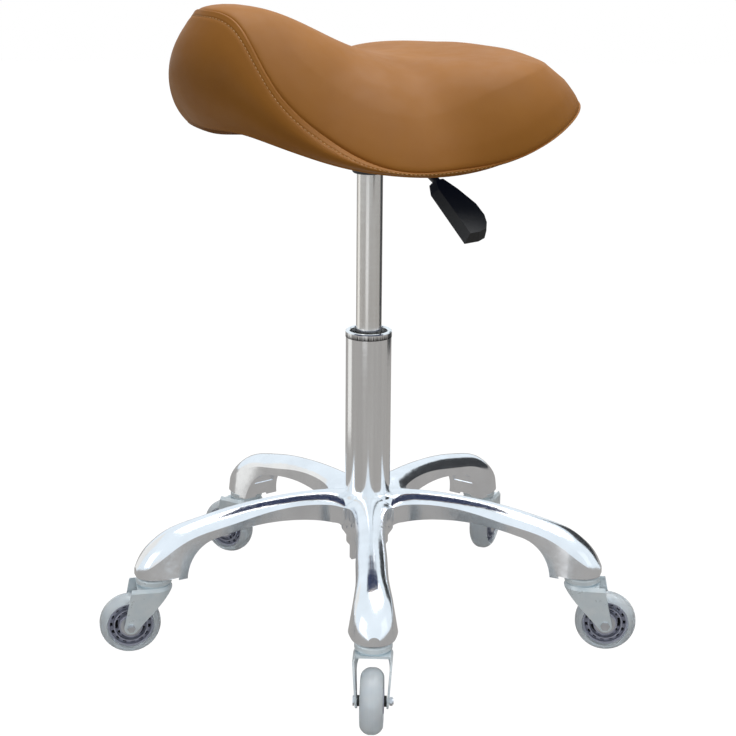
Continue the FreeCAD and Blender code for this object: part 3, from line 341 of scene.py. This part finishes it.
def rounded_curve(values):
    """A smooth curve through the knots, level at the nose and the rear."""
    count = len(KNOTS)
    matrix = np.zeros((count, count))
    target = np.zeros(count)
    matrix[0, 0] = matrix[-1, -1] = 1.0
    for k in range(1, count - 1):
        before, after = KNOTS[k] - KNOTS[k - 1], KNOTS[k + 1] - KNOTS[k]
        matrix[k, k - 1:k + 2] = 1.0 / before, 2.0 / before + 2.0 / after, 1.0 / after
        target[k] = 3.0 * ((values[k] - values[k - 1]) / before ** 2
                           + (values[k + 1] - values[k]) / after ** 2)
    slopes = np.linalg.solve(matrix, target)

    def at(angle):
        angle = abs(angle)
        k = min(max(int(np.searchsorted(KNOTS, angle)) - 1, 0), count - 2)
        width = KNOTS[k + 1] - KNOTS[k]
        t = (angle - KNOTS[k]) / width
        return ((2 * t ** 3 - 3 * t ** 2 + 1) * values[k] + (t ** 3 - 2 * t ** 2 + t) * width * slopes[k]
                + (3 * t ** 2 - 2 * t ** 3) * values[k + 1] + (t ** 3 - t ** 2) * width * slopes[k + 1])

    return at


rim_reach = rounded_curve(RIM_REACH)
rim_height = rounded_curve(RIM_HEIGHT)
rim_slope = rounded_curve(RIM_SLOPE)
shoulder = rounded_curve(SHOULDER)
lower_reach = rounded_curve(LOWER_REACH)
lower_height = rounded_curve(LOWER_HEIGHT)
panel_bulge = rounded_curve(PANEL_BULGE)


def seat_to_world(along, across, height):
    return Vector(((along * math.cos(SEAT_TURN) - across * math.sin(SEAT_TURN)) * MM,
                   (along * math.sin(SEAT_TURN) + across * math.cos(SEAT_TURN)) * MM, height * MM))


def dish(angle, share):
    """Reach and height of the top panel, share 0 in the middle and 1 at the seam."""
    rim, height, slope = rim_reach(angle), rim_height(angle), rim_slope(angle)
    along = math.cos(angle)
    curve = DISH_CURVE_ALONG * along ** 2 + DISH_CURVE_ACROSS * math.sin(angle) ** 2
    first = height - DISH_HEIGHT - DISH_SLOPE * rim * along - 0.5 * curve * rim ** 2
    second = slope - DISH_SLOPE * along - curve * rim
    fourth = (second * rim - 3 * first) / rim ** 4
    third = (first - fourth * rim ** 4) / rim ** 3
    reach = share * rim
    outer = max(0.0, (share - 0.6) / 0.4)
    return reach, (DISH_HEIGHT + DISH_SLOPE * reach * along + 0.5 * curve * reach ** 2
                   + third * reach ** 3 + fourth * reach ** 4
                   + shoulder(angle) * 6.75 * outer ** 2 * (1.0 - outer))


def side_panel(angle, share):
    """Reach and height of the side panel, share 0 at the seam and 1 at the lower edge."""
    out, low = rim_reach(angle), lower_reach(angle)
    reach = out + (low - out) * share + panel_bulge(angle) * 4 * share * (1 - share)
    return reach, rim_height(angle) + (lower_height(angle) - rim_height(angle)) * share


def side_length(angle):
    points = [side_panel(angle, k / 8) for k in range(9)]
    return sum(math.dist(a, b) for a, b in zip(points, points[1:]))


def side_normal(angle, share):
    """Outward direction of the side panel in the plane of reach and height."""
    before, after = side_panel(angle, max(share - 0.02, 0.0)), side_panel(angle, min(share + 0.02, 1.0))
    run, fall = after[0] - before[0], after[1] - before[1]
    length = math.hypot(run, fall)
    return -fall / length, run / length


def top_normal(angle, share):
    before, after = dish(angle, share - 0.01), dish(angle, share)
    run, rise = after[0] - before[0], after[1] - before[1]
    length = math.hypot(run, rise)
    return -rise / length, run / length


# Distance from the seam in millimetres and how far the leather stands out there

TOP_TUCK = [(26.0, 0.0), (20.0, 0.05), (14.0, 0.2), (10.0, 0.3), (7.0, 0.35), (5.0, 0.3), (3.4, 0.15),
            (2.2, -0.15),
            (1.3, -0.55), (0.6, -1.0)]
SIDE_BAND = [(0.0, -1.2), (0.35, 0.1), (0.8, 0.75), (1.4, 0.95), (2.1, 0.8), (3.2, 0.55), (4.6, 0.5),
             (5.6, 0.35),
             (6.2, -0.05), (6.7, -0.25), (7.2, -0.05), (8.0, 0.2), (9.5, 0.3), (12.0, 0.15), (15.0, 0.0)]
BAND_WIDTH, BAND_SHARE = 15.0, 0.7
TOP_RINGS = 40
SIDE_RINGS = 22
EDGE_RINGS = 6
UNDER_RINGS = 20
AROUND = 288

# Rings lie closer together towards the rim by this power
RING_POWER = 0.85
TUCK_WIDTH, TUCK_SPREAD, TUCK_MARGIN = 26.0, 1.15, 0.03
EDGE_RADIUS, EDGE_TURN_IN, EDGE_DROP = 5.0, 1.2, 0.45
UNDERSIDE_TOP = 576.9
UNDERSIDE_RISE_END = 0.55
BOARD_GAP = 0.9
BELOW_SEAT = 400.0


def band_width(length):
    """The seam band narrows where the side panel is low."""
    return min(BAND_WIDTH, length * BAND_SHARE)


def saddle_rings():
    """Each ring of the seat from the top middle to the underside middle."""
    rings = [("top", (k / TOP_RINGS) ** RING_POWER, 0.0) for k in range(1, TOP_RINGS)]
    rings += [("tuck", distance, out) for distance, out in TOP_TUCK]
    rings += [("band", distance, out) for distance, out in SIDE_BAND]
    rings += [("side", k / SIDE_RINGS, 0.0) for k in range(1, SIDE_RINGS + 1)]
    rings += [("edge", k / EDGE_RINGS, 0.0) for k in range(1, EDGE_RINGS + 1)]
    rings += [("under", k / UNDER_RINGS, 0.0) for k in range(1, UNDER_RINGS)]
    return rings


def surface_tree(mesh):
    return BVHTree.FromPolygons([v.co for v in mesh.vertices], [p.vertices for p in mesh.polygons])


board_surface = surface_tree(NODES["seat_board"].data)


def underside_height(along, across, height):
    """Keeps the leather just below the board where the board lies above it."""
    point = seat_to_world(along, across, BELOW_SEAT)
    hit = board_surface.ray_cast(point, Vector((0.0, 0.0, 1.0)))
    if hit[0] is None:
        return height
    return min(height, hit[0].z / MM - BOARD_GAP)


def saddle_point(angle, ring):
    zone, value, out = ring
    length = side_length(angle)
    band_end = band_width(length)
    squeeze = band_end / BAND_WIDTH
    if zone == "top":
        tuck_start = 1.0 - TUCK_WIDTH * TUCK_SPREAD / rim_reach(angle)
        last = ((TOP_RINGS - 1) / TOP_RINGS) ** RING_POWER
        reach, height = dish(angle, value / last * (tuck_start - TUCK_MARGIN))
    elif zone == "tuck":
        slope = rim_slope(angle)
        share = 1.0 - value / math.hypot(1.0, slope) / rim_reach(angle)
        reach, height = dish(angle, share)
        normal = top_normal(angle, share)
        reach, height = reach + normal[0] * out, height + normal[1] * out
    elif zone == "band":
        share = value * squeeze / length
        reach, height = side_panel(angle, share)
        normal = side_normal(angle, share)
        swell = out * (0.45 + 0.55 * squeeze)
        reach, height = reach + normal[0] * swell, height + normal[1] * swell
    elif zone == "side":
        start = band_end / length
        reach, height = side_panel(angle, start + (1.0 - start) * value)
    else:
        low, bottom = side_panel(angle, 1.0)
        if zone == "edge":
            turn = value * math.pi * 0.5
            reach = low - EDGE_RADIUS * (1.0 - math.cos(turn)) * EDGE_TURN_IN
            height = bottom - EDGE_RADIUS * math.sin(turn) * EDGE_DROP
        else:
            edge_reach, edge_height = low - EDGE_RADIUS * EDGE_TURN_IN, bottom - EDGE_RADIUS * EDGE_DROP
            reach = edge_reach * (1.0 - value)
            rise = min(1.0, value / UNDERSIDE_RISE_END)
            rise = rise * rise * (3 - 2 * rise) * 0.5 + rise * 0.5
            height = edge_height + (UNDERSIDE_TOP - edge_height) * rise
            height = underside_height(reach * math.cos(angle), reach * math.sin(angle), height)
    return seat_to_world(reach * math.cos(angle), reach * math.sin(angle), height)


def make_saddle_cover():
    """One closed leather skin: dished top, seam, topstitched band, side panel and turned-in underside."""
    rings = saddle_rings()
    rows = len(rings) + 1
    bm = bmesh.new()
    bmesh.ops.create_uvsphere(bm, u_segments=AROUND, v_segments=rows, radius=1.0)
    for vertex in bm.verts:
        turn = math.acos(max(-1.0, min(1.0, vertex.co.z)))
        row = round(turn / math.pi * rows)
        if row == 0:
            vertex.co = seat_to_world(0.0, 0.0, DISH_HEIGHT)
        elif row == rows:
            vertex.co = seat_to_world(0.0, 0.0, UNDERSIDE_TOP)
        else:
            vertex.co = saddle_point(math.atan2(vertex.co.y, vertex.co.x), rings[row - 1])
    bmesh.ops.recalc_face_normals(bm, faces=bm.faces)
    cover = piece_from(bm, "saddle_cover", FINISHES["seat_leather"])
    finish_piece(cover, "seat", "seat_leather", "seat_cover", "seat_foam")
    return cover


def seam_line(distance, out, count=1440):
    """Points at a distance below the seam, evenly by angle, with the outward direction there."""
    points = []
    for k in range(count):
        angle = -math.pi + 2 * math.pi * k / count
        length = side_length(angle)
        squeeze = band_width(length) / BAND_WIDTH
        share = distance * squeeze / length
        reach, height = side_panel(angle, share)
        normal = side_normal(angle, share)
        point = seat_to_world((reach + normal[0] * out) * math.cos(angle),
                              (reach + normal[0] * out) * math.sin(angle), height + normal[1] * out)
        outward = seat_to_world(normal[0] * math.cos(angle), normal[0] * math.sin(angle), normal[1])
        points.append((point, outward.normalized()))
    return points


def make_topstitch():
    """A row of single stitches sunk into the band below the seam."""
    line = seam_line(STITCH_DISTANCE, STITCH_LIFT)
    lengths = [0.0]
    for (here, _), (there, _) in zip(line, line[1:] + line[:1]):
        lengths.append(lengths[-1] + (there - here).length)
    count = int(lengths[-1] / (STITCH_PITCH * MM))
    step = lengths[-1] / count
    bm = bmesh.new()
    index = 0
    for k in range(count):
        middle = (k + 0.5) * step
        while lengths[index + 1] < middle:
            index += 1
        here, outward = line[index]
        there = line[(index + 1) % len(line)][0]
        along = (there - here).normalized()
        across = outward.cross(along).normalized()
        place = Matrix((along, across, outward)).transposed().to_4x4()
        place.translation = here + along * (middle - lengths[index])
        made = bmesh.ops.create_icosphere(bm, subdivisions=1, radius=1.0)
        half_sizes = Vector((STITCH_LENGTH, STITCH_WIDTH, STITCH_HEIGHT)) * MM / 2
        bmesh.ops.scale(bm, vec=half_sizes, verts=made["verts"])
        bmesh.ops.transform(bm, matrix=place, verts=made["verts"])
    thread = piece_from(bm, "saddle_topstitch", stitching_thread())
    return finish_piece(thread, "seat", "seat_leather")


def lining_place(u, v):
    """A place on the lining, with u and v from -1 to 1 over its rectangle, whose corners are rounded."""
    along = u * math.sqrt(1.0 - LINING_CORNER * v * v) * LINING_LENGTH / 2 + LINING_MIDDLE
    across = v * math.sqrt(1.0 - LINING_CORNER * u * u) * LINING_WIDTH / 2
    return along, across


def surface_below(tree, along, across, gap):
    """A point a little below the seat's underside."""
    start = seat_to_world(along, across, BELOW_SEAT)
    hit, normal, _, _ = tree.ray_cast(start, Vector((0.0, 0.0, 1.0)))
    return hit - Vector((0.0, 0.0, gap * MM)), normal


def make_lining(cover):
    """Thin cloth stretched under the board, its edge stapled over the turned-in leather."""
    under = surface_tree(cover.data)
    bm = bmesh.new()
    bmesh.ops.create_grid(bm, x_segments=72, y_segments=56, size=1.0)
    for vertex in bm.verts:
        along, across = lining_place(vertex.co.x, vertex.co.y)
        vertex.co = surface_below(under, along, across, LINING_GAP)[0]
    lower = bmesh.ops.extrude_face_region(bm, geom=bm.faces[:])
    moved = [item for item in lower["geom"] if isinstance(item, bmesh.types.BMVert)]
    bmesh.ops.translate(bm, vec=(0.0, 0.0, -LINING_THICKNESS * MM), verts=moved)
    bmesh.ops.recalc_face_normals(bm, faces=bm.faces)
    lining = piece_from(bm, "seat_lining", FINISHES["lining_cloth"])
    finish_piece(lining, "seat", "lining_cloth", "dust_cover")
    make_staples(under)


def make_staples(under):
    """Staples near the lining's edge, lying across the pull of the cloth."""
    edge = 1.0 - STAPLE_INSET / LINING_LENGTH
    places = []
    for share in np.linspace(-STAPLE_SPAN, STAPLE_SPAN, STAPLES_ALONG):
        places += [(share, -edge, 0.0), (share, edge, 0.0)]
    for share in np.linspace(-STAPLE_SPAN, STAPLE_SPAN, STAPLES_ACROSS):
        places += [(-edge, share, 90.0), (edge, share, 90.0)]
    bm = bmesh.new()
    for u, v, turn in places:
        along, across = lining_place(u, v)
        spot, normal = surface_below(under, along, across, STAPLE_GAP)
        made = bmesh.ops.create_cube(bm, size=1.0)
        bmesh.ops.scale(bm, vec=Vector(STAPLE_SIZE) * MM, verts=made["verts"])
        tilt = Vector((0.0, 0.0, -1.0)).rotation_difference(normal).to_matrix().to_4x4()
        flat = Matrix.Rotation(SEAT_TURN + math.radians(turn), 4, "Z")
        bmesh.ops.transform(bm, matrix=Matrix.Translation(spot) @ tilt @ flat, verts=made["verts"])
    staples = piece_from(bm, "lining_staples", FINISHES["zinc_steel"], smooth=False)
    finish_piece(staples, "seat", "zinc_steel")


def make_window_shade_discs():
    """Painted shade: a thin dark disc in the middle of each wheel, seen through the windows of the core,
    where the inside of the wheel lies in shade.
    """
    for number, (direction, trail) in enumerate(CASTER_TURNS, start=1):
        bm = bmesh.new()
        outline = [(CORE_HUB, -SHADE_DISC_HALF_WIDTH), (CORE_RIM, -SHADE_DISC_HALF_WIDTH),
                   (CORE_RIM, SHADE_DISC_HALF_WIDTH), (CORE_HUB, SHADE_DISC_HALF_WIDTH)]
        corners = [bm.verts.new((radius * MM, 0.0, height * MM)) for radius, height in outline]
        edges = [bm.edges.new((corners[k], corners[(k + 1) % 4])) for k in range(4)]
        bmesh.ops.spin(bm, geom=corners + edges, cent=(0, 0, 0), axis=(0, 0, 1), dvec=(0, 0, 0),
                       angle=2 * math.pi, steps=64, use_merge=True)
        bmesh.ops.remove_doubles(bm, verts=bm.verts, dist=1e-6)
        bmesh.ops.recalc_face_normals(bm, faces=bm.faces)
        turn = Matrix.Rotation(math.radians(trail), 4, "Z") @ Matrix.Rotation(math.radians(90), 4, "X")
        bmesh.ops.transform(bm, matrix=Matrix.Translation(wheel_centre(direction, trail) * MM) @ turn,
                            verts=bm.verts)
        # Black nylon here is painted shade inside the core windows
        back = piece_from(bm, f"wheel_{number}_window_shade_disc", FINISHES["black_nylon"])
        finish_piece(back, f"wheel_{number}", "wheel_plastic")


saddle_cover = make_saddle_cover()
make_topstitch()
make_lining(saddle_cover)
make_window_shade_discs()

# Studio


def ray_share(tree, kind, share):
    """A factor for one kind of ray."""
    path = tree.nodes.new("ShaderNodeLightPath")
    scaled = tree.nodes.new("ShaderNodeMath")
    scaled.operation = "MULTIPLY"
    scaled.inputs[1].default_value = share
    tree.links.new(path.outputs[kind], scaled.inputs[0])
    return scaled.outputs[0]


def mixed(tree, factor, first, second):
    mix = tree.nodes.new("ShaderNodeMixShader")
    tree.links.new(factor, mix.inputs[0])
    tree.links.new(first, mix.inputs[1])
    tree.links.new(second, mix.inputs[2])
    return mix.outputs[0]


def make_floor():
    """White floor that keeps its shadows, and looks mid grey in the metal."""
    bm = bmesh.new()
    bmesh.ops.create_grid(bm, x_segments=1, y_segments=1, size=6.0)
    material, tree, shader = new_material("studio_floor")
    tree.nodes.remove(shader)
    matt = add(tree, "ShaderNodeBsdfDiffuse", Color=(0.32, 0.32, 0.32, 1.0))
    white = add(tree, "ShaderNodeEmission", Color=(1.0, 1.0, 1.0, 1.0), Strength=1.21)
    grey = add(tree, "ShaderNodeEmission", Color=(0.40, 0.385, 0.37, 1.0), Strength=1.0)
    seen = mixed(tree, ray_share(tree, "Is Camera Ray", 0.84), matt.outputs[0], white.outputs[0])
    seen = mixed(tree, ray_share(tree, "Is Glossy Ray", 0.9), seen, grey.outputs[0])
    tree.links.new(seen, tree.nodes["Material Output"].inputs["Surface"])
    floor = piece_from(bm, "floor", material, smooth=False)


def make_world():
    """Even light, white behind the stool and pale blue in the metal."""
    world = bpy.data.worlds.new("studio")
    bpy.context.scene.world = world
    world.use_nodes = True
    tree = world.node_tree
    light = tree.nodes["Background"]
    light.inputs["Color"].default_value = (1.0, 1.0, 1.0, 1.0)
    light.inputs["Strength"].default_value = 0.20
    white = add(tree, "ShaderNodeBackground", Color=(1.0, 1.0, 1.0, 1.0), Strength=1.0)
    blue = add(tree, "ShaderNodeBackground", Color=(0.86, 0.94, 1.0, 1.0), Strength=1.0)
    seen = mixed(tree, ray_share(tree, "Is Camera Ray", 1.0), light.outputs[0], white.outputs[0])
    seen = mixed(tree, ray_share(tree, "Is Transmission Ray", 1.0), seen, white.outputs[0])
    seen = mixed(tree, ray_share(tree, "Is Glossy Ray", 1.0), seen, blue.outputs[0])
    tree.links.new(seen, tree.nodes["World Output"].inputs["Surface"])


def softbox(name, place, target, width, height, power, mirrored=True):
    data = bpy.data.lights.new(name, "AREA")
    data.shape = "RECTANGLE"
    data.size, data.size_y = width, height
    data.energy = power
    lamp = bpy.data.objects.new(name, data)
    lamp.location = place
    lamp.rotation_euler = (Vector(target) - Vector(place)).to_track_quat("-Z", "Y").to_euler()
    lamp.visible_glossy = mirrored
    bpy.context.scene.collection.objects.link(lamp)


def studio_card(name, centre, facing, width, height, colour):
    """A studio card that only reflections see."""
    bm = bmesh.new()
    bmesh.ops.create_grid(bm, x_segments=1, y_segments=1, size=0.5)
    bmesh.ops.scale(bm, vec=(width, height, 1.0), verts=bm.verts)
    turn = (Vector(facing) - Vector(centre)).to_track_quat("Z", "Y").to_matrix().to_4x4()
    bmesh.ops.transform(bm, matrix=Matrix.Translation(centre) @ turn, verts=bm.verts)
    material, tree, shader = new_material(name)
    tree.nodes.remove(shader)
    glow = add(tree, "ShaderNodeEmission", Color=(*colour, 1.0), Strength=1.0)
    tree.links.new(glow.outputs[0], tree.nodes["Material Output"].inputs["Surface"])
    card = piece_from(bm, name, material, smooth=False)
    card.visible_camera = False
    card.visible_diffuse = False
    card.visible_shadow = False
    card.visible_transmission = False


def make_camera():
    data = bpy.data.cameras.new("camera")
    data.lens = 85.4
    data.sensor_width = 36.0
    data.clip_start, data.clip_end = 0.05, 30.0
    camera = bpy.data.objects.new("camera", data)
    turn = Matrix.Rotation(math.radians(-1.66), 4, "Z") @ Matrix.Rotation(math.radians(74.13), 4, "X")
    turn = turn @ Matrix.Rotation(math.radians(0.46), 4, "Z")
    camera.matrix_world = Matrix.Translation((-0.0538, -1.8397, 0.8207)) @ turn
    bpy.context.scene.collection.objects.link(camera)
    bpy.context.scene.camera = camera


make_floor()
make_world()
softbox("top_softbox", (0.35, 0.25, 2.5), (0.0, 0.0, 0.5), 2.4, 2.0, 52.0)
softbox("left_softbox", (-2.2, -1.6, 1.2), (0.0, 0.0, 0.4), 1.6, 1.6, 8.0)
softbox("right_softbox", (2.2, -1.6, 1.2), (0.0, 0.0, 0.4), 1.6, 1.6, 1.2)
softbox("base_softbox", (0.0, -0.8, 0.12), (0.0, 0.0, -0.15), 1.1, 0.1, 1.1, mirrored=False)
studio_card("right_card", (0.66, 0.46, 0.40), (0.0, 0.0, 0.40), 0.62, 0.60, (0.045, 0.047, 0.05))
studio_card("left_card", (-0.62, 0.22, 0.26), (0.0, 0.0, 0.26), 0.36, 0.50, (0.9, 0.89, 0.86))
studio_card("front_card", (-0.42, -1.15, 0.16), (0.0, 0.0, 0.16), 0.55, 0.28, (0.88, 0.88, 0.88))
studio_card("under_card", (0.0, 0.0, 0.535), (0.0, 0.0, 0.0), 0.36, 0.30, (0.03, 0.04, 0.09))
make_camera()
bpy.context.scene.view_settings.view_transform = "Standard"
